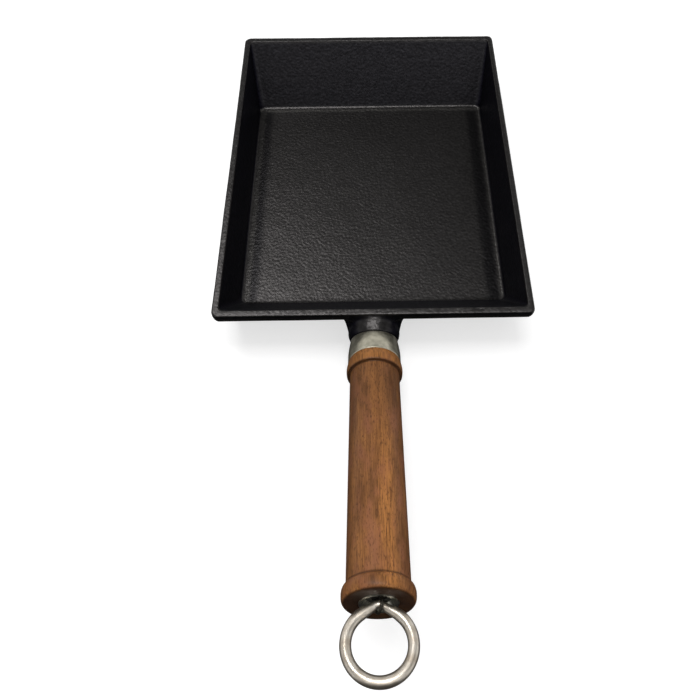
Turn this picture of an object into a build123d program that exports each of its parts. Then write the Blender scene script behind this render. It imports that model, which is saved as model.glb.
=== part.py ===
from build123d import *
from math import asin, cos, degrees, pi, radians, sin
import os

os.makedirs("parts", exist_ok=True)

# Cast iron tamagoyaki pan with a turned wooden handle, millimetres.
# The origin is on the table, under the middle of the rim. +Z is up and the handle points along -Y.

# Pan casting
rim_width = 150.0
rim_length = 190.0
pan_height = 34.0
rim_land = 3.2
rim_band = 3.0
floor_thickness = 4.0
# how far the inside of each wall leans in, from the rim down to the floor
side_lean = 3.8
near_lean = 20.2
far_lean = 26.1
outer_corner_radius = 3.4
inner_corner_radius = 2.2
foot_corner_radius = 6.0
floor_corner_radius = 4.0
floor_fillet = 3.0
foot_fillet = 3.5
band_fillet = 1.0
rim_edge_round = 0.7

# Neck of the casting, measured along the handle's axis from the plane of the near rim
handle_rise = 17.2
neck_height_share = 0.53
neck_reach = 12.0
neck_radius = 12.1
neck_straight = 9.0
neck_root_depth = 21.0
neck_spread = 4.2
neck_spread_share = 0.62
neck_rise_spread = 0.4
neck_end_round = 1.2
neck_thread_depth = 14.0

# Through rod, its flattened eye and the hole that the ring hangs in
rod_radius = 2.5
rod_tip_clearance = 0.5
rod_tip_bevel = 0.6
rod_bore_clearance = 0.1
eye_thickness = 1.2
eye_radius = 3.5
eye_edge_round = 0.4
eye_ring_clearance = 0.5
eye_stand_out = 0.1

# Steel ferrule between the neck and the wood
ferrule_length = 9.5
ferrule_radius = 11.9
ferrule_wall = 1.1
ferrule_front_wall = 1.5
ferrule_front_round = 0.8
ferrule_rear_round = 0.3
tenon_clearance = 0.1

# Turned wooden handle
wood_length = 105.6
shoulder_radius = 11.9
shoulder_round = 0.6
front_bead_radius = 12.45
front_bead_place = 3.9
front_bead_end = 5.9
front_bead_end_radius = 11.7
front_bead_lean = 8.0
groove_place = 6.9
groove_radius = 10.85
body_end_radius = 11.2
end_cove_length = 2.6
end_bead_length = 7.0
end_bead_foot_radius = 12.0
end_bead_radius = 12.85
end_bead_crown_share = 0.42
end_face_radius = 10.6

# Steel cup washer let into the end of the wood
cup_radius = 7.1
cup_lip = 1.1
cup_floor_radius = 4.4
cup_depth = 2.2
cup_thickness = 0.8
cup_proud = 0.3
cup_seat_clearance = 0.1

# Pear-shaped hanging ring
ring_wire_radius = 1.85
ring_radius = 11.05
ring_drop = 13.25
ring_neck_bend = 2.4
ring_gap = 0.5

# One overrun for every cutting tool
cut_overrun = 20.0
# Sections that the bending part of the neck is drawn through
neck_sections = 8


# Places that follow from the sizes above
half_length = rim_length / 2
neck_height = neck_height_share * pan_height
inner_depth = pan_height - floor_thickness
shoulder_height = pan_height - rim_band
foot_share = shoulder_height / inner_depth
hole_radius = ring_wire_radius + eye_ring_clearance
wood_start = neck_reach + ferrule_length
wood_end = wood_start + wood_length
eye_centre = wood_end + eye_stand_out
cup_top = wood_end + cup_proud
cup_under_lip = cup_top - cup_thickness
cup_bottom = cup_under_lip - cup_depth
cup_bend_radius = cup_radius - cup_lip
eye_base = cup_bottom + cup_thickness
thread_end = neck_reach - neck_thread_depth
rod_bore_radius = rod_radius + rod_bore_clearance

handle_place = Plane(
    origin=(0, -half_length, neck_height),
    x_dir=(1, 0, 0),
    z_dir=(0, -cos(radians(handle_rise)), sin(radians(handle_rise))),
).location


def level_section(set_in_side, set_in_near, set_in_far, corner, height):
    """A level rounded rectangle, set in from the outer rim by the given amounts."""
    width = rim_width - 2 * set_in_side
    length = rim_length - set_in_near - set_in_far
    middle = (set_in_near - set_in_far) / 2
    return Plane.XY.offset(height) * Pos(0, middle) * RectangleRounded(width, length, corner)


def turned(outline):
    """A solid turned about the handle's axis, from a closed outline drawn as radius and length."""
    return revolve(make_face(Plane.XZ * outline), Axis.Z)


def ring_of(radius, start, end):
    """A plain cylinder on the handle's axis between two lengths."""
    return Pos(0, 0, start) * Cylinder(radius, end - start, align=(Align.CENTER, Align.CENTER, Align.MIN))


def pan_shell():
    """The outer block of the pan: a narrow upright band under the rim, then walls that lean in."""
    rim = level_section(0, 0, 0, outer_corner_radius, pan_height)
    shoulder = level_section(0, 0, 0, outer_corner_radius, shoulder_height)
    foot = level_section(
        side_lean * foot_share, near_lean * foot_share, far_lean * foot_share, foot_corner_radius, 0
    )
    walls = loft([foot, shoulder], ruled=True)
    walls = fillet(walls.edges().group_by(Axis.Z)[0], foot_fillet)
    shell = walls + loft([shoulder, rim], ruled=True)
    band_edges = shell.edges().filter_by_position(
        Axis.Z, shoulder_height - band_fillet / 2, shoulder_height + band_fillet / 2
    )
    return fillet(band_edges, band_fillet)


def cavity():
    """The space inside the pan, carried up past the rim."""
    land = rim_land
    mouth = level_section(land, land, land, inner_corner_radius, pan_height)
    above = level_section(land, land, land, inner_corner_radius, pan_height + cut_overrun)
    floor = level_section(
        land + side_lean, land + near_lean, land + far_lean, floor_corner_radius, floor_thickness
    )
    hollow = loft([floor, mouth], ruled=True)
    hollow = fillet(hollow.edges().group_by(Axis.Z)[0], floor_fillet)
    return hollow + loft([mouth, above], ruled=True)


def neck():
    """The neck: round where the handle seats, then bending level and spreading into the near wall."""
    bend_start = neck_reach - neck_straight
    rise = radians(handle_rise)
    run = (neck_root_depth + bend_start * cos(rise)) / neck_sections
    sections = [Pos(0, 0, neck_reach) * Circle(neck_radius), Pos(0, 0, bend_start) * Circle(neck_radius)]
    sections = [handle_place * section for section in sections]
    y = -half_length - bend_start * cos(rise)
    z = neck_height + bend_start * sin(rise)
    for step in range(1, neck_sections + 1):
        share = step / neck_sections
        angle = rise * (1 - share)
        y = y + run
        z = z - run * sin(angle) / cos(angle)
        spread = neck_spread * (1 - cos(pi * min(1, share / neck_spread_share))) / 2
        plane = Plane(origin=(0, y, z), x_dir=(1, 0, 0), z_dir=(0, -cos(angle), sin(angle)))
        sections.append(plane * Ellipse(neck_radius + spread, neck_radius + neck_rise_spread * share))
    straight = loft(sections[:2], ruled=True)
    straight = fillet(straight.edges().sort_by(Axis.Y)[0], neck_end_round)
    return straight + loft(sections[1:])


def pan_body():
    """The whole casting: shell and neck in one, hollowed, with the tapped hole for the rod."""
    solid = pan_shell() + neck() - cavity()
    bore = handle_place * ring_of(rod_bore_radius, thread_end, neck_reach + cut_overrun)
    solid = solid - bore
    rim_edges = solid.edges().filter_by_position(
        Axis.Z, pan_height - rim_edge_round / 2, pan_height + rim_edge_round / 2
    )
    return fillet(rim_edges, rim_edge_round)


def ferrule():
    """A short steel sleeve with a front wall, open at the back for the wood's tenon."""
    inner = ferrule_radius - ferrule_wall
    solid = ring_of(ferrule_radius, neck_reach, wood_start)
    ends = solid.edges().filter_by(GeomType.CIRCLE).sort_by(Axis.Z)
    solid = fillet(ends[-1], ferrule_rear_round)
    front = solid.edges().filter_by(GeomType.CIRCLE).sort_by(Axis.Z)[0]
    solid = fillet(front, ferrule_front_round)
    solid = solid - ring_of(inner, neck_reach + ferrule_front_wall, wood_start + cut_overrun)
    return handle_place * (solid - ring_of(rod_bore_radius, neck_reach - cut_overrun, wood_start))


def wooden_handle():
    """The turned grip: tenon, front bead and groove, long body, end bead, bored through."""
    s = wood_start
    body_end = wood_end - end_bead_length - end_cove_length
    bead_start = wood_end - end_bead_length
    crown = bead_start + end_bead_crown_share * end_bead_length
    tenon_radius = ferrule_radius - ferrule_wall - tenon_clearance
    tenon_start = neck_reach + ferrule_front_wall + tenon_clearance
    shoulder = (shoulder_radius, s + shoulder_round)
    outline = Polyline((0, tenon_start), (tenon_radius, tenon_start), (tenon_radius, s),
                       (shoulder_radius - shoulder_round, s))
    outline += RadiusArc((shoulder_radius - shoulder_round, s), shoulder, -shoulder_round)
    outline += Spline(
        shoulder, (front_bead_radius, s + front_bead_place), (front_bead_end_radius, s + front_bead_end),
        (groove_radius, s + groove_place),
        tangents=((sin(radians(front_bead_lean)), 1), (0, 1)),
    )
    outline += Line((groove_radius, s + groove_place), (body_end_radius, body_end))
    outline += Spline(
        (body_end_radius, body_end), (end_bead_foot_radius, bead_start),
        tangents=((0, 1), (1, 1)),
    )
    outline += Spline(
        (end_bead_foot_radius, bead_start), (end_bead_radius, crown), (end_face_radius, wood_end),
        tangents=((1, 1), (-1, 0)),
    )
    outline += Polyline((end_face_radius, wood_end), (0, wood_end), (0, tenon_start))
    solid = turned(outline)
    solid = solid - ring_of(rod_bore_radius, neck_reach, wood_end + cut_overrun)
    return handle_place * (solid - cup_seat())


def cup_seat():
    """The countersink in the end of the wood that takes the cup washer."""
    floor_radius = cup_floor_radius + cup_seat_clearance
    bend_radius = cup_bend_radius + cup_seat_clearance
    lip_radius = cup_radius + cup_seat_clearance
    above = wood_end + cut_overrun
    outline = Polyline(
        (0, cup_bottom), (floor_radius, cup_bottom), (bend_radius, cup_under_lip),
        (lip_radius, cup_under_lip), (lip_radius, above), (0, above),
        close=True,
    )
    return turned(outline)


def cup_washer():
    """The dished steel washer, its lip just proud of the wood."""
    hole = rod_bore_radius
    outline = Polyline(
        (hole, cup_bottom), (cup_floor_radius, cup_bottom), (cup_bend_radius, cup_under_lip),
        (cup_radius, cup_under_lip), (cup_radius, cup_top), (cup_bend_radius, cup_top),
        (cup_floor_radius, eye_base), (hole, eye_base),
        close=True,
    )
    solid = turned(outline)
    rim = solid.edges().filter_by(GeomType.CIRCLE).group_by(Axis.Z)[-1]
    return handle_place * fillet(rim, cup_proud)


def tie_rod():
    """The long rod that holds the handle on, its outer end flattened and drilled as an eye."""
    rod = ring_of(rod_radius, thread_end + rod_tip_clearance, eye_base)
    rod = chamfer(rod.edges().filter_by(GeomType.CIRCLE).group_by(Axis.Z)[0], rod_tip_bevel)
    flat = Pos(0, 0, eye_base) * Box(
        eye_thickness, 2 * eye_radius, eye_centre - eye_base, align=(Align.CENTER, Align.CENTER, Align.MIN)
    )
    disc = Pos(0, 0, eye_centre) * Rot(0, 90, 0) * Cylinder(eye_radius, eye_thickness)
    below = ring_of(neck_radius, thread_end, eye_base)
    tab = flat + disc - below
    round_edges = tab.edges().filter_by(GeomType.CIRCLE)
    tab = fillet(round_edges, eye_edge_round)
    hole = Pos(0, 0, eye_centre) * Rot(0, 90, 0) * Cylinder(hole_radius, eye_thickness + cut_overrun)
    return handle_place * (rod + tab - hole)


def hanging_ring():
    """A ring of round wire bent to a pear, its two ends meeting inside the eye."""
    lean = asin((ring_radius - ring_neck_bend) / (ring_drop - ring_neck_bend))
    lean_angle = degrees(lean)
    bend_angle = 90 - lean_angle
    gap_angle = degrees(ring_gap / 2 / ring_neck_bend)
    bend_centre = (0, ring_neck_bend)
    centre = (0, ring_drop)
    right_bend = CenterArc(bend_centre, ring_neck_bend, -90 + gap_angle, bend_angle - gap_angle)
    left_bend = CenterArc(bend_centre, ring_neck_bend, -90 - bend_angle, bend_angle - gap_angle)
    round_part = CenterArc(centre, ring_radius, -lean_angle, 180 + 2 * lean_angle)
    right_side = Line(right_bend @ 1, round_part @ 0)
    left_side = Line(round_part @ 1, left_bend @ 0)
    path = Plane.XZ * Pos(0, eye_centre) * (right_bend + right_side + round_part + left_side + left_bend)
    path = Wire(path.edges())
    section = Plane(origin=path @ 0, z_dir=path % 0) * Circle(ring_wire_radius)
    return handle_place * sweep(section, path=path)


makers = {
    "pan_body": pan_body,
    "ferrule": ferrule,
    "wooden_handle": wooden_handle,
    "cup_washer": cup_washer,
    "tie_rod": tie_rod,
    "hanging_ring": hanging_ring,
}
for name, maker in makers.items():
    export_step(maker(), f"parts/{name}.step")
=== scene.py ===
import math

import bpy
from mathutils import Matrix, Vector, noise
from mathutils.bvhtree import BVHTree


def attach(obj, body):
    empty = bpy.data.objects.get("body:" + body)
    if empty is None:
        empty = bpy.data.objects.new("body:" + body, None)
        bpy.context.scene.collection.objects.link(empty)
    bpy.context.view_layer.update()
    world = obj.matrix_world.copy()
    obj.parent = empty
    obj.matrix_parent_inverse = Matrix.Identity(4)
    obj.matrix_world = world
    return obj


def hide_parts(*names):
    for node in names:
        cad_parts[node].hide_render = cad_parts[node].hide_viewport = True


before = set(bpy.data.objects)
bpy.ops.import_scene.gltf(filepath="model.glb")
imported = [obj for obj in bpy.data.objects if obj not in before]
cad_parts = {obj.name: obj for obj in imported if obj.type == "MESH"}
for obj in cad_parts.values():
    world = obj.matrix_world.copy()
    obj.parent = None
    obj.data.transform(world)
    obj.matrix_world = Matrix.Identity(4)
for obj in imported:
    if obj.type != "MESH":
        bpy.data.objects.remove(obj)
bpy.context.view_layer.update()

# The camera looks down at the pan from behind the end of the handle, as a cook would.
# Its place and its turn follow the outlines of the rim, the floor, the grip and the ring.
photo_side = 700
focal_pixels = 700
centre_across, centre_down = 376.7, 247.7
film_width = 36
camera_place = Vector((-0.00147, -0.24492, 0.31992))
camera_turn = math.radians(1.06)
camera_dip = math.radians(56.85)
camera_roll = math.radians(-0.10)

camera_data = bpy.data.cameras.new("camera")
camera_data.sensor_width = film_width
camera_data.lens = film_width * focal_pixels / photo_side
camera_data.shift_x = (photo_side / 2 - centre_across) / photo_side
camera_data.shift_y = (centre_down - photo_side / 2) / photo_side
camera = bpy.data.objects.new("camera", camera_data)
bpy.context.scene.collection.objects.link(camera)
camera.matrix_world = (
    Matrix.Translation(camera_place)
    @ Matrix.Rotation(-camera_turn, 4, "Z")
    @ Matrix.Rotation(math.pi / 2 - camera_dip, 4, "X")
    @ Matrix.Rotation(-camera_roll, 4, "Z")
)
bpy.context.scene.camera = camera

# The studio is a plain white table in a pale room. The two strongest of its soft boxes hang high up,
# and weaker ones stand at the far right, at both near corners and over the end of the handle.
# A dark card on the near side stands for the unlit half of the room, and only gloss shows it.
scene = bpy.context.scene
scene.view_settings.view_transform = "Standard"
white = (1, 1, 1, 1)


def material_tree(name):
    """A new material with an empty node tree, and that tree."""
    material = bpy.data.materials.new(name)
    material.use_nodes = True
    tree = material.node_tree
    tree.nodes.clear()
    return material, tree


def node(tree, kind, **inputs):
    """A node of that kind, with its inputs set from plain values or linked from other sockets."""
    made = tree.nodes.new(kind)
    for name, value in inputs.items():
        socket = made.inputs[int(name[1:])] if name[0] == "_" else made.inputs[name.replace("_", " ")]
        if isinstance(value, bpy.types.NodeSocket):
            tree.links.new(value, socket)
        else:
            socket.default_value = value
    return made


def seen_directly(tree):
    """One for rays from the camera and for mirrored or refracted ones, else zero."""
    path = tree.nodes.new("ShaderNodeLightPath")
    first = node(tree, "ShaderNodeMath", _0=path.outputs["Is Camera Ray"], _1=path.outputs["Is Glossy Ray"])
    both = node(tree, "ShaderNodeMath", _0=first.outputs[0], _1=path.outputs["Is Transmission Ray"])
    both.use_clamp = True
    return both.outputs[0]


# the room as it lights the pan, and as gloss shows it: white up to a height, and darker at the ceiling
room_light, ceiling_light = 0.20, 0.10
wall_top = (0.36, 0.60)
room = bpy.data.worlds.new("room")
room.use_nodes = True
room_tree = room.node_tree
room_tree.nodes.clear()
way = node(room_tree, "ShaderNodeSeparateXYZ",
           Vector=room_tree.nodes.new("ShaderNodeTexCoord").outputs["Generated"])
wall = node(room_tree, "ShaderNodeMapRange", Value=way.outputs["Z"], From_Min=wall_top[0],
            From_Max=wall_top[1], To_Min=1.0, To_Max=ceiling_light)
level = node(room_tree, "ShaderNodeMapRange", Value=seen_directly(room_tree), To_Min=room_light,
             To_Max=wall.outputs[0])
background = node(room_tree, "ShaderNodeBackground", Color=white, Strength=level.outputs[0])
node(room_tree, "ShaderNodeOutputWorld", Surface=background.outputs[0])
scene.world = room

table_reach = 6.0
table_colour = (0.55, 0.55, 0.55, 1)
table_glow = 0.62
bpy.ops.mesh.primitive_plane_add(size=table_reach)
table = bpy.context.object
table.name = "table"
table_material, table_tree = material_tree("table")
glow_level = node(table_tree, "ShaderNodeMath", _0=seen_directly(table_tree), _1=table_glow)
glow_level.operation = "MULTIPLY"
glow = node(table_tree, "ShaderNodeEmission", Color=white, Strength=glow_level.outputs[0])
lit = node(table_tree, "ShaderNodeBsdfDiffuse", Color=table_colour)
table_skin = node(table_tree, "ShaderNodeAddShader", _0=glow.outputs[0], _1=lit.outputs[0])
node(table_tree, "ShaderNodeOutputMaterial", Surface=table_skin.outputs[0])
table.data.materials.append(table_material)


def soft_box(name, place, size, power, aim=Vector((0, 0, 0))):
    """A rectangular lamp that faces the pan."""
    data = bpy.data.lights.new(name, "AREA")
    data.shape = "RECTANGLE"
    data.size, data.size_y = size
    data.energy = power
    lamp = bpy.data.objects.new(name, data)
    scene.collection.objects.link(lamp)
    lamp.location = place
    lamp.rotation_euler = (aim - place).to_track_quat("-Z", "Y").to_euler()


soft_box("key_box", Vector((-0.36, 0.30, 1.05)), (0.35, 0.35), 4.0)
soft_box("top_box", Vector((0.0, -0.04, 1.15)), (0.40, 0.35), 5.5)
soft_box("side_box", Vector((0.50, 0.50, 0.91)), (0.35, 0.35), 0.4)
soft_box("low_box", Vector((-0.44, -0.68, 0.80)), (0.55, 0.45), 0.7)
soft_box("right_box", Vector((0.44, -0.60, 0.84)), (0.55, 0.45), 0.9)
soft_box("end_box", Vector((0.04, -0.42, 0.95)), (0.55, 0.40), 1.1, Vector((0, -0.2, 0)))

# the card hangs upright behind the handle and runs on over the table to just under the pan's near wall
card_half_width, card_height, card_lift = 0.8, 0.9, 0.0004
card_back, card_front = -1.0, -0.078
card_colour = (0.05, 0.05, 0.05, 1)
card_rows = ((card_back, card_height), (card_back, card_lift), (card_front, card_lift))
card_mesh = bpy.data.meshes.new("dark_card")
card_mesh.from_pydata([(side * card_half_width, y, z) for y, z in card_rows for side in (-1, 1)],
                      [], [(0, 1, 3, 2), (2, 3, 5, 4)])
card = bpy.data.objects.new("dark_card", card_mesh)
scene.collection.objects.link(card)
card_material, card_tree = material_tree("dark_card")
card_skin = node(card_tree, "ShaderNodeBsdfDiffuse", Color=card_colour)
node(card_tree, "ShaderNodeOutputMaterial", Surface=card_skin.outputs[0])
card_mesh.materials.append(card_material)
card.visible_camera = False
card.visible_diffuse = False
card.visible_shadow = False

# The pan is one iron casting: a flat floor, four leaning walls with an upright band at the rim, and the
# neck that carries the handle. It is cast in sand, its rim is dressed smooth, and its skin is matt black.
rim_width, rim_length, pan_height = 0.150, 0.190, 0.034
rim_land, rim_band, near_band, floor_thickness = 0.0032, 0.0030, 0.0046, 0.0040
side_lean, near_lean, far_lean = 0.0038, 0.0202, 0.0261
inner_depth = pan_height - floor_thickness
shoulder_height = pan_height - rim_band
foot_share = shoulder_height / inner_depth
outer_corner, mouth_corner, floor_corner, foot_corner = 0.0034, 0.0022, 0.0040, 0.0060
floor_fillet, mouth_round, rim_round, band_round, foot_fillet = 0.0020, 0.0005, 0.0008, 0.0008, 0.0035
floor_margin, foot_margin = 0.0034, 0.0040
across_steps, along_steps, corner_steps = 116, 142, 10
# steps on the arcs of the floor, mouth, rim, band and foot, and on the runs before, between and after them
section_arcs = (8, 5, 5, 3, 6)
section_runs = (1, 22, 3, 2, 16, 1)


def smooth_step(low, high, value):
    """Zero below low, one above high, with an easy slope between."""
    share = min(1.0, max(0.0, (value - low) / (high - low)))
    return share * share * (3 - 2 * share)


def rounded_line(corners, rounds, arcs, runs):
    """Points along straight runs whose inner corners are rounded. Each corner also carries a plan radius."""
    bends = []
    for before, corner, after, radius, steps in zip(corners, corners[1:], corners[2:], rounds, arcs):
        back = Vector(before[:2]) - Vector(corner[:2])
        on = Vector(after[:2]) - Vector(corner[:2])
        turn = math.pi - back.angle(on)
        tangent = radius * math.tan(turn / 2)
        start = Vector(corner).lerp(Vector(before), tangent / back.length)
        end = Vector(corner).lerp(Vector(after), tangent / on.length)
        middle = (back.normalized() + on.normalized()).normalized() * radius / math.cos(turn / 2)
        centre = Vector(corner[:2]) + middle
        arc = []
        for step in range(steps + 1):
            share = step / steps
            point = centre + (start.xy - centre).slerp(end.xy - centre, share).normalized() * radius
            arc.append(Vector((point.x, point.y, start.z + (end.z - start.z) * share)))
        bends.append(arc)
    points = [Vector(corners[0])]
    for arc, run in zip(bends + [[Vector(corners[-1])]], runs):
        here = points[-1]
        points += [here.lerp(arc[0], step / run) for step in range(1, run + 1)]
        points += arc[1:]
    return points


def wall_section(lean, band):
    """One wall's section, from the floor over the rim to the foot, as set-in, height and plan radius."""
    inside, foot = rim_land + lean, lean * foot_share
    shoulder = pan_height - band
    corners = (
        (inside + floor_margin, floor_thickness, floor_corner - floor_margin),
        (inside, floor_thickness, floor_corner), (rim_land, pan_height, mouth_corner),
        (0, pan_height, outer_corner), (0, shoulder, outer_corner), (foot, 0, foot_corner),
        (foot + foot_margin, 0, foot_corner - foot_margin),
    )
    return rounded_line(corners, (floor_fillet, mouth_round, rim_round, band_round, foot_fillet),
                        section_arcs, section_runs)


def level_ring(side, near, far, corner):
    """Points once round the pan, near wall first, from each wall's set-in and height."""
    half = rim_width / 2 - side[0]
    low, high = near[0] - rim_length / 2, rim_length / 2 - far[0]
    walls = (
        ((-half + corner, low), (half - corner, low), near[1], across_steps),
        ((half, low + corner), (half, high - corner), side[1], along_steps),
        ((half - corner, high), (-half + corner, high), far[1], across_steps),
        ((-half, high - corner), (-half, low + corner), side[1], along_steps),
    )
    points = []
    for number, (start, end, height, steps) in enumerate(walls):
        next_height = walls[(number + 1) % 4][2]
        start, end = Vector((*start, height)), Vector((*end, height))
        points += [start.lerp(end, step / steps) for step in range(steps)]
        facing = math.pi / 2 * (number - 1)
        centre = end - corner * Vector((math.cos(facing), math.sin(facing), 0))
        for step in range(corner_steps):
            share = step / corner_steps
            turn = facing + share * math.pi / 2
            lift = (next_height - height) * smooth_step(0, 1, share)
            points.append(centre + Vector((corner * math.cos(turn), corner * math.sin(turn), lift)))
    return points


def skin_rings(points, faces, rings, closed=False):
    """Join rings of the same number of points with rows of four-sided faces."""
    around = len(rings[0])
    first = len(points)
    for ring in rings:
        points.extend(ring)
    pairs = list(zip(range(len(rings)), range(1, len(rings)))) + ([(len(rings) - 1, 0)] if closed else [])
    for upper, lower in pairs:
        a, b = first + upper * around, first + lower * around
        for step in range(around):
            after = (step + 1) % around
            faces.append((b + step, b + after, a + after, a + step))
    return first


def fill_level(points, faces, ring_start, faces_up):
    """Close a level ring of the pan with a square net of faces and a small fan at each corner."""
    starts = [0, across_steps + corner_steps]
    starts += [starts[1] + along_steps + corner_steps]
    starts += [starts[2] + across_steps + corner_steps]
    around = 2 * (across_steps + along_steps + 2 * corner_steps)
    ring = points[ring_start:ring_start + around]
    left, right = ring[0].x, ring[across_steps].x
    near, far = ring[starts[1]].y, ring[starts[1] + along_steps].y
    net = len(points)
    for row in range(along_steps + 1):
        for column in range(across_steps + 1):
            points.append(Vector((left + (right - left) * column / across_steps,
                                  near + (far - near) * row / along_steps, ring[0].z)))

    def at(column, row):
        return net + row * (across_steps + 1) + column

    new = [(at(c, r), at(c + 1, r), at(c + 1, r + 1), at(c, r + 1))
           for r in range(along_steps) for c in range(across_steps)]
    edges = (
        [at(c, 0) for c in range(across_steps + 1)],
        [at(across_steps, r) for r in range(along_steps + 1)],
        [at(across_steps - c, along_steps) for c in range(across_steps + 1)],
        [at(0, along_steps - r) for r in range(along_steps + 1)],
    )
    for start, edge in zip(starts, edges):
        for step in range(len(edge) - 1):
            here = ring_start + start + step
            new.append((here, here + 1, edge[step + 1], edge[step]))
        for step in range(corner_steps):
            here = start + len(edge) - 1 + step
            new.append((ring_start + here, ring_start + (here + 1) % around, edge[-1]))
    faces.extend(new if faces_up else [face[::-1] for face in new])


def mesh_piece(name, points, faces, place=Matrix.Identity(4)):
    """A new smooth-shaded mesh object."""
    mesh = bpy.data.meshes.new(name)
    mesh.from_pydata([tuple(place @ point) for point in points], [], faces)
    mesh.polygons.foreach_set("use_smooth", [True] * len(mesh.polygons))
    piece = bpy.data.objects.new(name, mesh)
    scene.collection.objects.link(piece)
    return piece


pan_points, pan_faces = [], []
walls = ((side_lean, rim_band), (near_lean, near_band), (far_lean, rim_band))
sections = [wall_section(lean, band) for lean, band in walls]
rings = [level_ring(side, near, far, side.z) for side, near, far in zip(*sections)]
first_ring = skin_rings(pan_points, pan_faces, rings)
last_ring = first_ring + (len(rings) - 1) * len(rings[0])
fill_level(pan_points, pan_faces, first_ring, True)
fill_level(pan_points, pan_faces, last_ring, False)
pan_shell = mesh_piece("pan_casting", pan_points, pan_faces)

# The neck leaves the near wall level, widest where it meets the wall, and ends in an upright face.
# The handle climbs from that face, so the piece on its front is cut to lean against it.
handle_rise = math.radians(17.2)
neck_height_share = 0.53
neck_reach, neck_face, neck_thread_depth = 0.0120, 0.0070, 0.0140
neck_radius, neck_end_radius, neck_edge_round, neck_rim_width = 0.0121, 0.01085, 0.0003, 0.0030
neck_round_length, neck_top_drop, neck_bottom_drop = 0.0040, 0.0007, 0.0030
neck_flare_gap, neck_flare_reach, neck_flare, neck_flare_most = 0.0008, 0.0040, 0.0011, 0.0040
# how fast the flare opens, and how the sides and the top round off towards the face
flare_power, side_round_power, top_round_power = 1.25, 2.2, 1.8
bore_radius = 0.0026
neck_around, neck_stations, neck_rows = 120, 90, 34
neck_mouth = Vector((0, -rim_length / 2, neck_height_share * pan_height))
handle_place = Matrix.Translation(neck_mouth) @ Matrix.Rotation(math.pi / 2 - handle_rise, 4, "X")
face_centre = handle_place @ Vector((0, 0, neck_face))
face_half_height = neck_end_radius / math.cos(handle_rise)
neck_round_start = face_centre.y + neck_round_length
neck_flare_start = neck_round_start + neck_flare_gap
neck_length = 0.0270


def neck_point(y, turn):
    """A point on the upright section of the neck at one distance from the pan's middle."""
    near_end = max(0, (neck_round_start - y) / neck_round_length)
    flare = neck_flare * max(0, (y - neck_flare_start) / neck_flare_reach) ** flare_power
    flare = neck_flare_most * (1 - math.exp(-flare / neck_flare_most))
    wide = neck_radius + flare - (neck_radius - neck_end_radius) * near_end ** side_round_power
    swell = neck_top_drop * (1 - near_end ** top_round_power)
    inward = min(1, max(0, (y - face_centre.y) / neck_length))
    top = face_centre.z + face_half_height + swell
    bottom = face_centre.z - face_half_height - swell - neck_bottom_drop * inward
    return Vector((wide * math.cos(turn), y, (top + bottom) / 2 + (top - bottom) / 2 * math.sin(turn)))


def leaned(point, soft_length):
    """A point of a turned piece, moved along the handle so that the piece's front stands upright."""
    fade = 1 - smooth_step(neck_reach, neck_reach + soft_length, point.z)
    lean = neck_face + point.y * math.tan(handle_rise) - neck_reach
    return Vector((point.x, point.y, point.z + fade * lean))


def beyond_middle(point):
    """How far a point is past the middle of the near wall's thickness."""
    middle_height = (shoulder_height + pan_height) / 2
    return point.y + rim_length / 2 - rim_land / 2 - near_lean * (middle_height - point.z) / inner_depth


def circle(radius, length, steps):
    """Points on a circle round the handle's axis, at one length along it."""
    turns = [2 * math.pi * step / steps for step in range(steps)]
    return [Vector((radius * math.cos(turn), radius * math.sin(turn), length)) for turn in turns]


def cap_ring(points, faces, start, around, flip):
    """Close one end ring of a solid with a fan round its middle."""
    points.append(sum(points[start:start + around], Vector()) / around)
    for step in range(around):
        face = (start + step, start + (step + 1) % around, len(points) - 1)
        faces.append(face[::-1] if flip else face)


def spaced_evenly(line, rows):
    """The same line with its points spread evenly along it."""
    lengths = [0.0]
    for before, after in zip(line, line[1:]):
        lengths.append(lengths[-1] + (after - before).length)
    hair = 1e-9
    spaced = []
    for row in range(rows + 1):
        goal = lengths[-1] * row / rows
        here = next(i for i in range(len(lengths) - 1) if goal <= lengths[i + 1] + hair)
        part = (goal - lengths[here]) / (lengths[here + 1] - lengths[here])
        spaced.append(line[here].lerp(line[here + 1], part))
    return spaced


# each line runs from the face into the wall and stops inside it
lines = []
for number in range(neck_around):
    turn = 2 * math.pi * number / neck_around
    line = [neck_point(face_centre.y + neck_edge_round + neck_length * step / neck_stations, turn)
            for step in range(neck_stations + 1)]
    kept = [line[0]]
    for before, after in zip(line, line[1:]):
        if beyond_middle(after) > 0:
            reach = beyond_middle(before) / (beyond_middle(before) - beyond_middle(after))
            kept.append(before.lerp(after, reach))
            break
        kept.append(after)
    lines.append(spaced_evenly(kept, neck_rows))

bore_bottom = neck_reach - neck_thread_depth
bore_end = circle(bore_radius, bore_bottom, neck_around)
neck_rings = [[handle_place @ point for point in bore_end]]
for radius in (bore_radius, neck_end_radius - neck_rim_width, neck_end_radius - neck_edge_round):
    face_ring = circle(radius, neck_reach, neck_around)
    neck_rings.append([handle_place @ leaned(point, neck_round_length) for point in face_ring])
neck_rings += [[line[row] for line in lines] for row in range(neck_rows + 1)]
neck_points, neck_faces = [], []
skin_rings(neck_points, neck_faces, neck_rings)
cap_ring(neck_points, neck_faces, 0, neck_around, False)
cap_ring(neck_points, neck_faces, (len(neck_rings) - 1) * neck_around, neck_around, True)
neck_tube = mesh_piece("neck_tube", neck_points, neck_faces)
shell_tree = BVHTree.FromPolygons(pan_points, pan_faces)
neck_tree = BVHTree.FromPolygons(neck_points, neck_faces)

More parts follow.
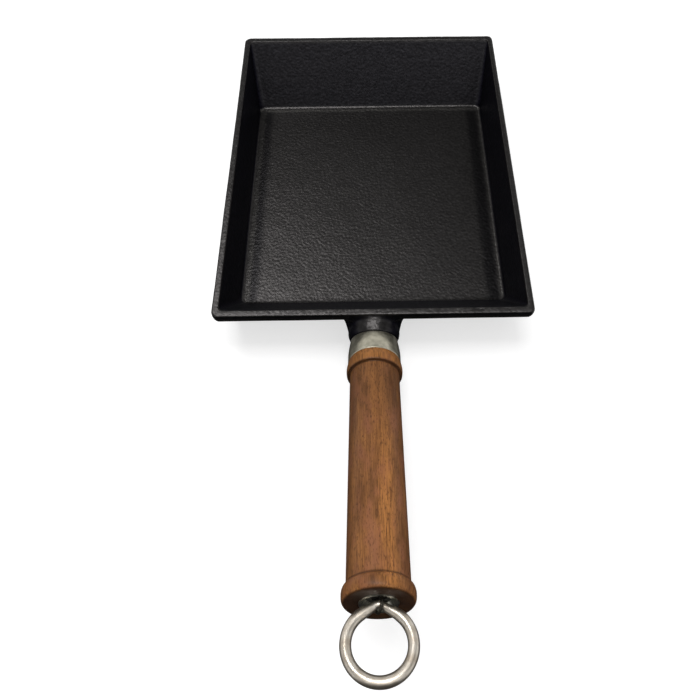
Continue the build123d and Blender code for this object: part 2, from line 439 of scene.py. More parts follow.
join = pan_shell.modifiers.new("join", "BOOLEAN")
join.object = neck_tube
join.operation = "UNION"
join.solver = "MANIFOLD"
casting_mesh = bpy.data.meshes.new_from_object(pan_shell.evaluated_get(bpy.context.evaluated_depsgraph_get()))
pan_shell.modifiers.clear()
pan_shell.data = casting_mesh
bpy.data.objects.remove(neck_tube)

# Where neck and wall meet, the metal runs together in a soft fillet.
# It fades out just under the rim and at the foot.
fillet_width = 0.0040
neck_far_edge, neck_half_width = -0.068, 0.030
fillet_top, fillet_fade = 0.0335, 0.0018
least_slope = 0.2
for vertex in casting_mesh.vertices:
    point = vertex.co
    if point.y > neck_far_edge or abs(point.x) > neck_half_width or point.z > fillet_top:
        continue
    shell_normal, shell_gap = shell_tree.find_nearest(point)[1::2]
    neck_normal, neck_gap = neck_tree.find_nearest(point)[1::2]
    apart = max(shell_gap, neck_gap)
    if apart < fillet_width and beyond_middle(point) < 0:
        closeness = 1 - apart / fillet_width
        nearer, other = (shell_normal, neck_normal) if shell_gap < neck_gap else (neck_normal, shell_normal)
        slope = nearer * (1 - closeness / 2) + other * closeness / 2
        fade = min(1, (fillet_top - point.z) / fillet_fade, max(0, point.z / fillet_fade))
        if slope.length > least_slope:
            vertex.co = point + slope * (fade * closeness ** 2 * fillet_width / 4 / slope.length_squared)

# Sand casting leaves slow waves in the skin, and the dressed rim keeps small nicks and a few raised specks.
# The floor dips a little along both sides, and the right rim has been dressed lower at its edge.
wave_length, wave_depth = 0.024, 0.00011
ripple_length, ripple_depth = 0.0065, 0.00004
rim_ripple_length, rim_ripple_depth, rim_ripple_place = 0.0042, 0.00007, Vector((7, 3, 1))
# each nick as place across, place along, radius and depth, and the raised specks with a depth below zero
nicks = (
    (0.0472, -0.0922, 0.0013, 0.00045), (0.0497, -0.0924, 0.0012, 0.00050),
    (0.0615, -0.0928, 0.0009, 0.00030), (0.0300, -0.0921, 0.0008, 0.00022),
    (-0.0560, -0.0930, 0.0010, -0.00016), (-0.0499, -0.0937, 0.0012, -0.00020),
    (0.0020, -0.0925, 0.0008, -0.00012), (-0.0013, -0.0948, 0.0009, 0.00020),
)
nick_floor_share = 0.2
margin_start, margin_end, margin_dip = 0.0600, 0.0650, 0.00012
right_rim_start, right_rim_drop = 0.0731, 0.00030
rim_blend = (pan_height - 0.0012, pan_height - 0.0004)
floor_blend = (floor_thickness + 0.0002, floor_thickness + 0.0016)
inner_low, inner_high = 0.0035, pan_height - 0.0006
# how far a face looks down, up or aside, as shares of its normal
foot_facing, wall_facing, side_facing = (0.3, 0.9), (0.5, 0.9), (0.4, 0.8)
near_facing, inner_facing = -0.5, 0.05

cast_finish = casting_mesh.attributes.new("as_cast", "FLOAT", "POINT")
# painted shade: a share that darkens the inner faces of the side walls, which stand in shade
side_shade_finish = casting_mesh.attributes.new("side_wall_shade", "FLOAT", "POINT")
normals = [vertex.normal.copy() for vertex in casting_mesh.vertices]
for vertex, normal, finish, side in zip(casting_mesh.vertices, normals, cast_finish.data, side_shade_finish.data):
    point = vertex.co.copy()
    free = 1 - smooth_step(*foot_facing, -normal.z)
    push = wave_depth * noise.noise(point / wave_length) + ripple_depth * noise.noise(point / ripple_length)
    on_rim = smooth_step(*rim_blend, point.z)
    push += on_rim * rim_ripple_depth * noise.noise(point / rim_ripple_length + rim_ripple_place)
    if on_rim or normal.y < near_facing:
        push -= wave_depth / 2
    if on_rim:
        push -= right_rim_drop * smooth_step(right_rim_start, rim_width / 2, point.x)
    for x, y, radius, depth in nicks:
        if abs(point.x - x) < radius and abs(point.y - y) < radius and on_rim:
            apart = math.hypot(point.x - x, point.y - y) / radius
            push -= on_rim * depth * (1 - smooth_step(nick_floor_share, 1.0, apart))
    move = normal * push * free
    inside = inner_low < point.z < inner_high and normal.z > inner_facing
    floor_share = 1 - smooth_step(*floor_blend, point.z) if inside else 0
    margin = smooth_step(margin_start, margin_end, abs(point.x))
    move.z -= margin_dip * margin * floor_share
    vertex.co = point + move
    steep = 1 - smooth_step(*wall_facing, normal.z)
    finish.value = steep if inside else 0.0
    # painted shade on the inner faces of the side walls
    side.value = steep * smooth_step(*side_facing, abs(normal.x)) if inside else 0.0

# The finish is matt black: bluish and dull where it is as cast, a little smoother on the floor and the rim.
# A painted highlight is a bright line along the foot of the walls, and a strip of floor beside it is darker
# as painted shade.
dressed_roughness, cast_roughness = 0.37, 0.50
dressed_iron, cast_iron = (0.0410, 0.0390, 0.0385, 1), (0.0158, 0.0156, 0.0198, 1)
# the brightest colour here is a painted highlight for the line at the foot of the walls, and the colour on
# the next line is painted shade for the strip beside it
side_shade_iron, painted_highlight_iron = (0.0112, 0.0104, 0.0168, 1), (0.0800, 0.0770, 0.0730, 1)
painted_shade_iron = (0.0215, 0.0207, 0.0215, 1)
grain_size, grain_height, grain_strength = 0.0014, 0.0003, 0.50
wander_size, wander_reach, wander_span = 0.0090, 0.0005, (0.25, 0.75)
mottle_size, floor_mottle, cast_mottle = 0.0018, 0.15, 0.25
# painted highlight lines and painted shade strips on the floor as start, end and soft margin, across the pan
# for the sides
left_highlight_line, right_highlight_line = (-0.0664, -0.0641, 0.0018), (0.0653, 0.0670, 0.0014)
far_highlight_line = (0.0621, 0.0640, 0.0010)
left_highlight_share, right_highlight_share = 0.42, 0.36
left_shade_strip, right_shade_strip = (-0.0641, -0.0598, 0.0040), (0.0590, 0.0651, 0.0034)
floor_level = (floor_thickness - 0.0006, floor_thickness + 0.0009, 0.0004)
side_lines_far, side_lines_near = (0.0605, 0.0625), (-0.0716, -0.0700)
# painted shade: the floor is a little darker from its middle to the right, and this fades towards the far
# wall
right_shade_across, right_shade_along, right_shade_share = (0.012, 0.060), (0.055, 0.010), 0.22


def ranged(tree, value, low, high, to_low=0.0, to_high=1.0, kind="LINEAR"):
    """The value carried from one range to another and held inside it."""
    made = node(tree, "ShaderNodeMapRange", Value=value, From_Min=low, From_Max=high, To_Min=to_low,
                To_Max=to_high)
    made.interpolation_type = kind
    return made.outputs[0]


def combined(tree, kind, first, *others):
    """Values added, multiplied or otherwise put together, one after another."""
    for other in others:
        made = node(tree, "ShaderNodeMath", _0=first, _1=other)
        made.operation = kind
        first = made.outputs[0]
    return first


def strip(tree, value, low, high, soft):
    """One between two values, falling to zero over a soft margin on either side."""
    rise = ranged(tree, value, low - soft / 2, low + soft / 2, kind="SMOOTHSTEP")
    fall = ranged(tree, value, high - soft / 2, high + soft / 2, 1.0, 0.0, "SMOOTHSTEP")
    return combined(tree, "MULTIPLY", rise, fall)


def tinted(tree, share, first, second):
    """A colour between two others."""
    made = tree.nodes.new("ShaderNodeMix")
    made.data_type = "RGBA"
    for socket, value in ((made.inputs[0], share), (made.inputs[6], first), (made.inputs[7], second)):
        if isinstance(value, bpy.types.NodeSocket):
            tree.links.new(value, socket)
        else:
            socket.default_value = value
    return made.outputs[2]


def even_noise(tree, place, size, detail):
    """Noise whose spots have the same width every way."""
    return node(tree, "ShaderNodeTexNoise", Vector=place, Scale=1 / size, Detail=detail).outputs["Fac"]


def painted_share(tree, name):
    """A share that the mesh carries at each of its points."""
    made = node(tree, "ShaderNodeAttribute")
    made.attribute_name = name
    return made.outputs["Fac"]


def relief(tree, height, strength, depth):
    """A fine relief that is too small for the mesh."""
    return node(tree, "ShaderNodeBump", Strength=strength, Distance=depth, Height=height).outputs[0]


def skin(tree, **inputs):
    """The finish of a material, joined to its output."""
    made = node(tree, "ShaderNodeBsdfPrincipled", **inputs)
    node(tree, "ShaderNodeOutputMaterial", Surface=made.outputs[0])


# where most and nearly all of a noise's values lie
noise_core, noise_span = (0.35, 0.65), (0.3, 0.7)


iron, iron_tree = material_tree("cast_iron")
place = iron_tree.nodes.new("ShaderNodeTexCoord").outputs["Object"]
cast_share = painted_share(iron_tree, "as_cast")
# painted shade for the inner faces of the side walls
side_shade_share = painted_share(iron_tree, "side_wall_shade")
pan_axes = node(iron_tree, "ShaderNodeSeparateXYZ", Vector=place).outputs
wander = even_noise(iron_tree, place, wander_size, detail=2.0)
wander = ranged(iron_tree, wander, *wander_span, -wander_reach, wander_reach)
side_way = combined(iron_tree, "ADD", pan_axes["X"], wander)
far_way = combined(iron_tree, "ADD", pan_axes["Y"], wander)
on_floor = strip(iron_tree, pan_axes["Z"], *floor_level)
short_of_far = ranged(iron_tree, far_way, *side_lines_far, 1.0, 0.0)
past_near = ranged(iron_tree, pan_axes["Y"], *side_lines_near)
down_sides = combined(iron_tree, "MULTIPLY", on_floor, short_of_far, past_near)
# painted highlight: bright lines on the floor at the foot of the side and far walls, where the fillets catch
# the light
left_highlight = combined(iron_tree, "MULTIPLY", strip(iron_tree, side_way, *left_highlight_line), left_highlight_share)
right_highlight = combined(iron_tree, "MULTIPLY", strip(iron_tree, side_way, *right_highlight_line), right_highlight_share)
far_highlight = combined(iron_tree, "MULTIPLY", strip(iron_tree, far_way, *far_highlight_line), on_floor)
side_highlight = combined(iron_tree, "MULTIPLY", combined(iron_tree, "ADD", left_highlight, right_highlight), down_sides)
painted_highlight = combined(iron_tree, "MAXIMUM", side_highlight, far_highlight)
# painted shade: dark strips of floor beside the side walls
painted_shade_strips = combined(iron_tree, "ADD", strip(iron_tree, side_way, *left_shade_strip),
                 strip(iron_tree, side_way, *right_shade_strip))
painted_shade_strips = combined(iron_tree, "MULTIPLY", painted_shade_strips, down_sides)
grain = even_noise(iron_tree, place, grain_size, detail=0.5)
roughness = ranged(iron_tree, cast_share, 0.0, 1.0, dressed_roughness, cast_roughness)
mottle = ranged(iron_tree, even_noise(iron_tree, place, mottle_size, detail=1.0), *noise_span, -1.0, 1.0)
mottle_share = ranged(iron_tree, cast_share, 0.0, 1.0, floor_mottle, cast_mottle)
lightness = combined(iron_tree, "ADD", combined(iron_tree, "MULTIPLY", mottle, mottle_share), 1.0)
# painted shade on the right of the floor
painted_right_shade = combined(iron_tree, "MULTIPLY", ranged(iron_tree, pan_axes["X"], *right_shade_across),
                    ranged(iron_tree, pan_axes["Y"], *right_shade_along), on_floor, right_shade_share)
shade = combined(iron_tree, "SUBTRACT", lightness, painted_right_shade)
iron_tone = dressed_iron
for share, colour in (
    (cast_share, cast_iron), (side_shade_share, side_shade_iron), (painted_shade_strips, painted_shade_iron), (painted_highlight, painted_highlight_iron),
):
    iron_tone = tinted(iron_tree, share, iron_tone, colour)
iron_tone = node(iron_tree, "ShaderNodeHueSaturation", Color=iron_tone, Value=shade).outputs[0]
skin(iron_tree, Base_Color=iron_tone, Metallic=1.0, Roughness=roughness,
     Normal=relief(iron_tree, grain, grain_strength, grain_height))
casting_mesh.materials.clear()
casting_mesh.materials.append(iron)


def fit(piece, replaced, body):
    """The piece stands for its construction node and moves with the same body."""
    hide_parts(replaced)
    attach(piece, body)


fit(pan_shell, "pan_body", "pan")

# A short steel sleeve, turned and left satin, closes the front of the grip and draws in towards the neck.
# It is pressed over the tenon of the wood, and its front wall bears on the neck.
ferrule_length, ferrule_radius, ferrule_wall, ferrule_front = 0.0095, 0.01203, 0.0011, 0.0015
ferrule_front_radius, ferrule_taper, ferrule_edge_round, ferrule_draw = 0.0109, 0.0050, 0.0003, 0.28
taper_steps = 8
tenon_gap = 0.0001
wood_start = neck_reach + ferrule_length
turned_steps, turned_spacing = 160, 0.0006
# the widest turn between two points of a small round, in radians
round_step = 0.25


def turned_piece(name, outline):
    """A piece turned about the handle's axis from a closed outline of radius and length, outside first."""
    rings = [[leaned(point, ferrule_taper) for point in circle(radius, length, turned_steps)]
             for radius, length in outline]
    points, faces = [], []
    skin_rings(points, faces, rings, closed=True)
    return mesh_piece(name, points, faces, handle_place)


def softened(corners, rounds, spacing):
    """A closed outline with its corners rounded, and points at the given spacing along its runs."""
    count = len(corners)
    outline = []
    arcs = []
    for number, (corner, radius) in enumerate(zip(corners, rounds)):
        here = Vector(corner)
        if radius == 0:
            arcs.append([here])
            continue
        back, on = Vector(corners[number - 1]) - here, Vector(corners[(number + 1) % count]) - here
        turn = math.pi - back.angle(on)
        cut = radius * math.tan(turn / 2)
        start, end = here + back.normalized() * cut, here + on.normalized() * cut
        centre = here + (back.normalized() + on.normalized()).normalized() * radius / math.cos(turn / 2)
        steps = max(3, round(turn / round_step))
        arcs.append([centre + (start - centre).slerp(end - centre, step / steps).normalized() * radius
                     for step in range(steps + 1)])
    for number, arc in enumerate(arcs):
        outline += arc
        last, following = arc[-1], arcs[(number + 1) % count][0]
        steps = max(1, round((following - last).length / spacing))
        outline += [last.lerp(following, step / steps) for step in range(1, steps)]
    return outline


def curve_points(start, start_way, end, end_way, steps):
    """Points on a smooth curve between two places, leaving and arriving along the given ways."""
    start, end = Vector(start), Vector(end)
    reach = (end - start).length
    way_in, way_out = Vector(start_way).normalized() * reach, Vector(end_way).normalized() * reach
    points = []
    for step in range(steps + 1):
        t = step / steps
        points.append(start * (2 * t ** 3 - 3 * t * t + 1) + way_in * (t ** 3 - 2 * t * t + t)
                      + end * (3 * t * t - 2 * t ** 3) + way_out * (t ** 3 - t * t))
    return points


inner = ferrule_radius - ferrule_wall
inner_front = ferrule_front_radius - ferrule_wall
taper_end = neck_reach + ferrule_taper
tapered = curve_points((ferrule_front_radius, neck_reach + ferrule_edge_round), (ferrule_draw, 1),
                       (ferrule_radius, taper_end), (0, 1), taper_steps)
ferrule_outside = ((bore_radius, neck_reach), (ferrule_front_radius - ferrule_edge_round, neck_reach),
                   *tapered)
ferrule_inside = ((inner, wood_start), (inner, taper_end), (inner_front, neck_reach + ferrule_front),
                  (bore_radius, neck_reach + ferrule_front))
ferrule_corners = (*ferrule_outside, (ferrule_radius, wood_start), *ferrule_inside)
ferrule_rounds = (0,) * len(ferrule_outside) + (ferrule_edge_round,) + (0,) * len(ferrule_inside)
ferrule = turned_piece("ferrule_sleeve", softened(ferrule_corners, ferrule_rounds, turned_spacing))

# the handle's own frame, so that turned lines and grain follow the piece
handle_back = handle_place.inverted()


def handle_coordinates(tree):
    """Places measured in the handle's own frame: its axis is the third of them."""
    coordinates = tree.nodes.new("ShaderNodeTexCoord").outputs["Object"]
    return node(tree, "ShaderNodeMapping", Vector=coordinates, Location=handle_back.to_translation(),
                Rotation=handle_back.to_euler()).outputs[0]


def stretched_noise(tree, place, across, along, detail=2.0):
    """Noise whose spots have the given width across the handle and length along it."""
    scaled = node(tree, "ShaderNodeMapping", Vector=place, Scale=(1 / across, 1 / across, 1 / along))
    return node(tree, "ShaderNodeTexNoise", Vector=scaled.outputs[0], Scale=1.0, Detail=detail).outputs["Fac"]


steel_bright, steel_dull = (0.55, 0.52, 0.42, 1), (0.38, 0.36, 0.28, 1)
steel_roughness = (0.34, 0.46)
turned_line_length, turned_line_width, turned_line_depth, turned_line_strength = 0.02, 0.00025, 0.0001, 0.12
smear_size = 0.0025
steel, steel_tree = material_tree("satin_steel")
steel_place = handle_coordinates(steel_tree)
steel_lines = stretched_noise(steel_tree, steel_place, turned_line_length, turned_line_width)
steel_smears = stretched_noise(steel_tree, steel_place, smear_size, smear_size)
skin(steel_tree, Metallic=1.0,
     Base_Color=tinted(steel_tree, ranged(steel_tree, steel_smears, *noise_core), steel_dull, steel_bright),
     Roughness=ranged(steel_tree, steel_lines, *noise_span, *steel_roughness),
     Normal=relief(steel_tree, steel_lines, turned_line_strength, turned_line_depth))
ferrule.data.materials.append(steel)
fit(ferrule, "ferrule", "pan")

# The grip is turned from one piece of reddish brown wood, with a bead and a groove in front and a bead at
# the end. It is bored through for the rod and oiled, and its pores stay open. Painted shade darkens the
# groove and the cove before the end bead, and the end is darker end grain with painted shade on it too.
wood_length = 0.1056
shoulder_radius, shoulder_round, shoulder_steps = 0.01203, 0.0004, 4
bead_lean = math.tan(math.radians(8.0))
# places along each bead: length from the front of the wood, radius, the outline's way there, points up to it
front_bead = ((0.0040, 0.01258, (0, 1), 8), (0.0062, 0.01245, (-0.15, 1), 6), (0.0067, 0.01215, (-1, 0.5), 5),
              (0.0069, 0.0113, (-1, 0.25), 4), (0.0072, 0.01103, (0, 1), 4))
end_bead = ((0.0999, 0.0119, (1, 0.6), 5), (0.1006, 0.01258, (0.6, 1), 5), (0.1028, 0.01306, (0, 1), 7),
            (0.1045, 0.01290, (-0.3, 1), 6), (0.10545, 0.0122, (-1, 0.6), 6), (0.1056, 0.0115, (-1, 0), 3))
body_end_radius, body_end = 0.01143, 0.0994
body_steps = 150
wood_end = wood_start + wood_length

cup_radius, cup_lip, cup_floor_radius, cup_depth = 0.0071, 0.0011, 0.0044, 0.0022
cup_thickness, cup_proud, cup_gap = 0.0008, 0.00005, 0.0001
cup_top = wood_end + cup_proud
cup_under_lip = cup_top - cup_thickness
cup_bottom = cup_under_lip - cup_depth
cup_bend_radius = cup_radius - cup_lip

tenon_radius = ferrule_radius - ferrule_wall - tenon_gap
tenon_start = neck_reach + ferrule_front + tenon_gap
wood_outline = [Vector((bore_radius, tenon_start)), Vector((inner_front - tenon_gap, tenon_start)),
                Vector((tenon_radius, taper_end)), Vector((tenon_radius, wood_start)),
                Vector((shoulder_radius - shoulder_round, wood_start))]
shoulder_centre = Vector((shoulder_radius - shoulder_round, wood_start + shoulder_round))
for step in range(1, shoulder_steps + 1):
    turn = math.pi / 2 * step / shoulder_steps
    wood_outline.append(shoulder_centre + shoulder_round * Vector((math.sin(turn), -math.cos(turn))))


def add_bead(outline, way, bead):
    """Carry the outline on through the places of one bead."""
    for length, radius, next_way, steps in bead:
        outline += curve_points(outline[-1], way, (radius, wood_start + length), next_way, steps)[1:]
        way = next_way


add_bead(wood_outline, (bead_lean, 1), front_bead)
body_start = wood_outline[-1]
wood_outline += [body_start.lerp(Vector((body_end_radius, wood_start + body_end)), step / body_steps)
                 for step in range(1, body_steps + 1)]
add_bead(wood_outline, (0, 1), end_bead)
seat = ((cup_radius + cup_gap, wood_end), (cup_radius + cup_gap, cup_under_lip),
        (cup_bend_radius + cup_gap, cup_under_lip), (cup_floor_radius + cup_gap, cup_bottom),
        (bore_radius, cup_bottom))
wood_outline += [Vector(point) for point in seat]
grip = turned_piece("turned_grip", wood_outline)

wood_dark, wood_brown = (0.115, 0.043, 0.012, 1), (0.205, 0.082, 0.025, 1)
wood_amber, wood_red = (0.31, 0.127, 0.038, 1), (0.225, 0.086, 0.036, 1)
streak_colour = (0.46, 0.190, 0.050, 1)
pore_colour, shade_and_end_grain_colour = (0.070, 0.026, 0.008, 1), (0.022, 0.008, 0.002, 1)
fibre_width, fibre_length = 0.00045, 0.008
pore_width, pore_length, pore_share = 0.00045, 0.0015, 0.75
figure_width, figure_length = 0.0052, 0.026
blush_width, blush_length = 0.0045, 0.009
wood_roughness, coat_share, coat_roughness, wood_gloss = (0.50, 0.38), 0.04, 0.30, 0.20
pore_depth, pore_strength = 0.00008, 0.35
# the shares of figure and fibres in the tone and the relief, and the noise values where each colour sets in
figure_share, fibre_share, fibre_relief_share = 0.55, 0.45, 0.4
brown_span, amber_span, red_span, pore_span = (0.36, 0.52), (0.50, 0.64), (0.48, 0.70), (0.54, 0.74)
streak_fibre_span, pale_bead_fibre_span = (0.35, 0.60), (0.30, 0.60)
# the pale streak: its sway, its place across as start, end and soft margin, and where along it comes in
sway_width, sway_length, sway_reach = 0.010, 0.030, 0.0018
streak_across, streak_along, streak_share = (0.0008, 0.0062, 0.0045), (0.055, 0.085), 0.6
# the front bead is paler, painted shade darkens the groove and the cove, and the end is darker end grain with
# painted shade
pale_bead_along, pale_bead_share = (wood_start + 0.0058, wood_start + 0.0066), 0.75
groove_place, groove_spread, groove_share = 0.0069, (0.0001, 0.0006), 0.66
cove_place, cove_spread, cove_share = 0.0997, (0.0002, 0.0009), 0.60
end_dark_depth, end_dark_share = 0.0006, 0.90
# painted shade and light: the grip is darker in front and lighter towards its end, and it is also darker on
# its left
grip_shade_along, grip_shade_front, grip_light_end = (wood_start + 0.008, wood_start + 0.070), 0.78, 1.12
left_darkening_across, left_darkening = (-0.0100, -0.0030), 0.80

wood, wood_tree = material_tree("wood")
wood_place = handle_coordinates(wood_tree)
handle_axes = node(wood_tree, "ShaderNodeSeparateXYZ", Vector=wood_place).outputs
along = handle_axes["Z"]
fibres = stretched_noise(wood_tree, wood_place, fibre_width, fibre_length, detail=3.0)
pore_noise = stretched_noise(wood_tree, wood_place, pore_width, pore_length, detail=1.0)
figure = stretched_noise(wood_tree, wood_place, figure_width, figure_length)
blush = stretched_noise(wood_tree, wood_place, blush_width, blush_length)
tone = combined(wood_tree, "ADD", combined(wood_tree, "MULTIPLY", figure, figure_share),
                combined(wood_tree, "MULTIPLY", fibres, fibre_share))
sway = stretched_noise(wood_tree, wood_place, sway_width, sway_length)
sway = ranged(wood_tree, sway, *noise_span, -sway_reach, sway_reach)
streak = combined(wood_tree, "MULTIPLY",
                  strip(wood_tree, combined(wood_tree, "ADD", handle_axes["X"], sway), *streak_across),
                  ranged(wood_tree, along, *streak_along, 0.0, streak_share),
                  ranged(wood_tree, fibres, *streak_fibre_span))
pores = ranged(wood_tree, pore_noise, *pore_span, 0.0, pore_share)
# the front bead is paler
pale_bead = combined(wood_tree, "MULTIPLY", ranged(wood_tree, along, *pale_bead_along, pale_bead_share, 0.0),
                     ranged(wood_tree, fibres, *pale_bead_fibre_span))


def painted_hollow_shade(place, spread, share):
    """Painted shade in a turned hollow, strongest at its middle, which is that far from the front of the
    wood.
    """
    away = combined(wood_tree, "ABSOLUTE", combined(wood_tree, "SUBTRACT", along, wood_start + place), 0)
    return ranged(wood_tree, away, *spread, share, 0.0, "SMOOTHSTEP")


# the end is darker end grain, with painted shade on it as well
end_grain_and_shade = ranged(wood_tree, along, wood_end - end_dark_depth, wood_end, 0.0, end_dark_share, "SMOOTHSTEP")
# painted shade in the groove and the cove, and the darker end
crease_shade_and_end_grain = combined(wood_tree, "MAXIMUM", painted_hollow_shade(groove_place, groove_spread, groove_share),
                 painted_hollow_shade(cove_place, cove_spread, cove_share), end_grain_and_shade)
wood_tone = wood_dark
for share, colour in (
    (ranged(wood_tree, tone, *brown_span), wood_brown), (ranged(wood_tree, tone, *amber_span), wood_amber),
    (ranged(wood_tree, blush, *red_span), wood_red), (streak, streak_colour), (pores, pore_colour),
    (pale_bead, streak_colour), (crease_shade_and_end_grain, shade_and_end_grain_colour),
):
    wood_tone = tinted(wood_tree, share, wood_tone, colour)
# painted shade in front, painted light towards the end, and a darker left side
grip_shade_and_left_darkening = combined(wood_tree, "MULTIPLY", ranged(wood_tree, along, *grip_shade_along, grip_shade_front, grip_light_end),
                   ranged(wood_tree, handle_axes["X"], *left_darkening_across, left_darkening, 1.0))
wood_tone = node(wood_tree, "ShaderNodeHueSaturation", Color=wood_tone, Value=grip_shade_and_left_darkening).outputs[0]
open_grain = combined(wood_tree, "MULTIPLY", fibres, fibre_relief_share)
open_grain = combined(wood_tree, "SUBTRACT", open_grain, pores)
skin(wood_tree, Base_Color=wood_tone, Roughness=ranged(wood_tree, tone, *noise_core, *wood_roughness),
     Coat_Weight=coat_share, Coat_Roughness=coat_roughness, Specular_IOR_Level=wood_gloss,
     Normal=relief(wood_tree, open_grain, pore_strength, pore_depth))
grip.data.materials.append(wood)
fit(grip, "wooden_handle", "pan")

# The dished washer is pressed from steel sheet and let into the end of the wood.
# It has dulled to a dark olive, and only its rolled lip still shines.
eye_base = cup_bottom + cup_thickness
cup_corners = ((bore_radius, cup_bottom), (cup_floor_radius, cup_bottom), (cup_bend_radius, cup_under_lip),
               (cup_radius, cup_under_lip), (cup_radius, cup_top), (cup_bend_radius, cup_top),
               (cup_floor_radius, eye_base), (bore_radius, eye_base))
cup_rounds = (0, 0.0004, 0.0002, 0.0001, 0.0003, 0.0005, 0.0004, 0)
cup_spacing = 0.0005
washer = turned_piece("dished_washer", softened(cup_corners, cup_rounds, cup_spacing))

fixing_bright, fixing_dull = (0.46, 0.45, 0.39, 1), (0.10, 0.10, 0.075, 1)
fixing_roughness = (0.42, 0.28)
patina_size, patina_span = 0.0018, (0.35, 0.68)
fixing, fixing_tree = material_tree("dull_steel")
patina = stretched_noise(fixing_tree, handle_coordinates(fixing_tree), patina_size, patina_size, detail=3.0)
skin(fixing_tree, Metallic=1.0,
     Base_Color=tinted(fixing_tree, ranged(fixing_tree, patina, *patina_span), fixing_dull, fixing_bright),
     Roughness=ranged(fixing_tree, patina, *noise_span, *fixing_roughness))
washer.data.materials.append(fixing)
fit(washer, "cup_washer", "pan")

# A steel rod runs from the tapped neck through the grip and holds it on.
# Its outer end is drawn out thin and closed to a small eye, a little askew, for the ring. Its steel is
# coloured dark, partly for scale and partly as painted shade for the shadow inside the cup.
rod_radius, rod_tip_gap, rod_tip_bevel, rod_end_bevel = 0.0025, 0.0005, 0.0006, 0.0002
eye_hole, eye_wire, eye_turn, eye_stand_out = 0.00220, 0.00048, math.radians(24), 0.0001
rod_steps, eye_steps, eye_around = 48, 72, 20
eye_centre = wood_end + eye_stand_out
rod_start = neck_reach - neck_thread_depth + rod_tip_gap
rod_outline = ((rod_radius - rod_tip_bevel, rod_start), (rod_radius, rod_start + rod_tip_bevel),
               (rod_radius, eye_base - rod_end_bevel), (rod_radius - rod_end_bevel, eye_base))
rod_points, rod_faces = [], []
skin_rings(rod_points, rod_faces, [circle(radius, length, rod_steps) for radius, length in rod_outline])
cap_ring(rod_points, rod_faces, 0, rod_steps, False)
cap_ring(rod_points, rod_faces, (len(rod_outline) - 1) * rod_steps, rod_steps, True)


def wire_ring(middle, first_way, second_way, radius, steps):
    """Points round a wire at one place, in the plane of two ways."""
    turns = [2 * math.pi * step / steps for step in range(steps)]
    return [middle + radius * (math.cos(turn) * first_way + math.sin(turn) * second_way) for turn in turns]


axis = Vector((0, 0, 1))
eye_side = Vector((math.sin(eye_turn), math.cos(eye_turn), 0))
eye_cross = eye_side.cross(axis)
eye_rings = []
for step in range(eye_steps):
    turn = 2 * math.pi * step / eye_steps
    out = math.cos(turn) * eye_side + math.sin(turn) * axis
    middle = Vector((0, 0, eye_centre)) + out * (eye_hole + eye_wire)
    eye_rings.append(wire_ring(middle, out, eye_cross, eye_wire, eye_around))
skin_rings(rod_points, rod_faces, eye_rings, closed=True)
rod = mesh_piece("rod_with_eye", rod_points, rod_faces, handle_place)

# the dark colours stand partly for scale and partly for painted shade, as the eye sits in the shadow of the
# cup
scale_and_shade_dark, scale_and_shade_pale = (0.020, 0.018, 0.014, 1), (0.070, 0.064, 0.052, 1)
scale_size, scale_metal, scale_roughness = 0.0012, 0.9, (0.45, 0.60)
dark_steel, dark_tree = material_tree("dark_steel")
scale = stretched_noise(dark_tree, handle_coordinates(dark_tree), scale_size, scale_size, detail=3.0)
skin(dark_tree, Metallic=scale_metal, Base_Color=tinted(dark_tree, scale, scale_and_shade_dark, scale_and_shade_pale),
     Roughness=ranged(dark_tree, scale, *noise_span, *scale_roughness))
rod.data.materials.append(dark_steel)
fit(rod, "tie_rod", "pan")

# The ring is bent from round wire to a pear and nickel plated. Its two slim ends meet inside the eye.
# One end lies a little higher than the other, as in a ring bent by hand.
wire_radius, ring_radius, ring_drop, ring_neck_bend = 0.00197, 0.01118, 0.01250, 0.0024
ring_gap, ring_gap_shift, end_lift, end_lift_reach = 0.0003, 0.0007, 0.00020, 0.0070
end_slimness, end_slim_reach = 0.32, 0.0080
# each end of the wire is closed by two small rings at its face and a soft edge in a few steps
end_soften, end_soften_steps, end_middle_share, end_face_share = 0.00030, 4, 0.55, 0.80
wire_steps, ring_steps = 40, 260
side_turn = math.asin((ring_radius - ring_neck_bend) / (ring_drop - ring_neck_bend))
first_turn = (ring_gap_shift + ring_gap / 2) / ring_neck_bend
last_turn = (ring_gap_shift - ring_gap / 2) / ring_neck_bend
side_length = (ring_drop - ring_neck_bend) * math.cos(side_turn)
# the bends as radius and angle, and the straight sides with no radius, as length
stretches = (
    (ring_neck_bend, math.pi / 2 - side_turn - first_turn), (None, side_length),
    (ring_radius, math.pi + 2 * side_turn), (None, side_length),
    (ring_neck_bend, math.pi / 2 - side_turn + last_turn),
)
whole = sum(amount if radius is None else radius * amount for radius, amount in stretches)


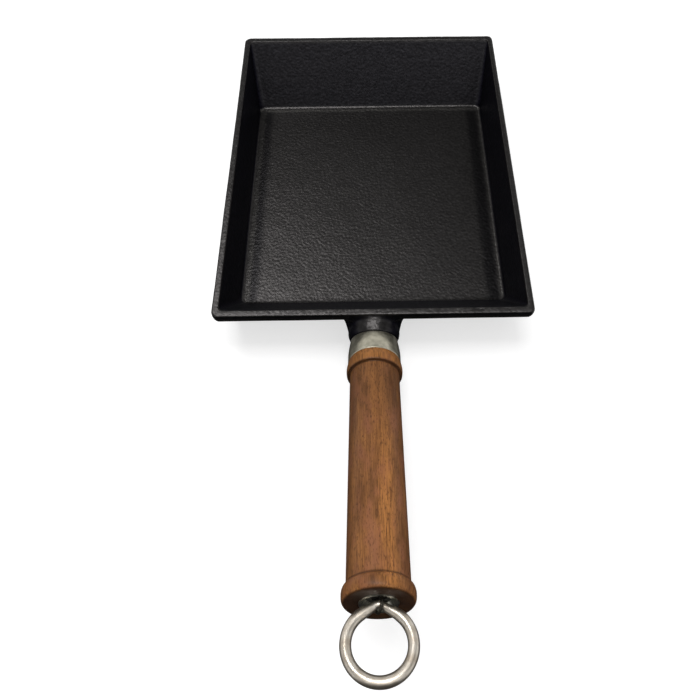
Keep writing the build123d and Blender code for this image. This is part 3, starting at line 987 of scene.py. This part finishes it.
def ring_line(distance):
    """Place and heading on the ring's centre line, in its own plane, from one end of the wire."""
    place = ring_neck_bend * Vector((math.sin(first_turn), 1 - math.cos(first_turn)))
    heading = first_turn
    for radius, amount in stretches:
        length = amount if radius is None else radius * amount
        here = min(distance, length)
        if radius is None:
            place = place + here * Vector((math.cos(heading), math.sin(heading)))
        else:
            turn = here / radius
            place = place + radius * Vector((math.sin(heading + turn) - math.sin(heading),
                                             math.cos(heading) - math.cos(heading + turn)))
            heading += turn
        distance -= here
        if distance <= 0:
            break
    return place, heading


stops = [(0.0, end_middle_share), (0.0, end_face_share)]
for step in range(1, end_soften_steps + 1):
    turn = math.pi / 2 * step / end_soften_steps
    stops.append((end_soften * (1 - math.cos(turn)), end_face_share + (1 - end_face_share) * math.sin(turn)))
middle_length = whole - 2 * end_soften
middle_stops = [(end_soften + middle_length * step / ring_steps, 1.0) for step in range(1, ring_steps)]
stops = stops + middle_stops + [(whole - distance, size) for distance, size in reversed(stops)]
ring_rings = []
for distance, size in stops:
    place, heading = ring_line(distance)
    from_start = max(0, 1 - distance / end_lift_reach)
    from_end = max(0, 1 - (whole - distance) / end_lift_reach)
    lift = end_lift * (smooth_step(0, 1, from_end) - smooth_step(0, 1, from_start))
    size *= 1 - end_slimness * (1 - smooth_step(0, end_slim_reach, min(distance, whole - distance)))
    middle = Vector((place.x, lift, eye_centre + place.y))
    across = Vector((math.sin(heading), 0, -math.cos(heading)))
    ring_rings.append(wire_ring(middle, across, Vector((0, 1, 0)), size * wire_radius, wire_steps))
ring_points, ring_faces = [], []
skin_rings(ring_points, ring_faces, ring_rings)
cap_ring(ring_points, ring_faces, 0, wire_steps, False)
cap_ring(ring_points, ring_faces, (len(ring_rings) - 1) * wire_steps, wire_steps, True)
ring = mesh_piece("wire_ring", ring_points, ring_faces, handle_place)

nickel_pale, nickel_worn = (0.72, 0.668, 0.585, 1), (0.50, 0.435, 0.355, 1)
nickel_roughness = (0.42, 0.36)
rub_size = 0.0035
nickel, nickel_tree = material_tree("nickel")
nickel_place = nickel_tree.nodes.new("ShaderNodeTexCoord").outputs["Object"]
rub = even_noise(nickel_tree, nickel_place, rub_size, detail=3.0)
skin(nickel_tree, Metallic=1.0,
     Base_Color=tinted(nickel_tree, ranged(nickel_tree, rub, *noise_core), nickel_worn, nickel_pale),
     Roughness=ranged(nickel_tree, rub, *noise_span, *nickel_roughness))
ring.data.materials.append(nickel)
fit(ring, "hanging_ring", "ring")
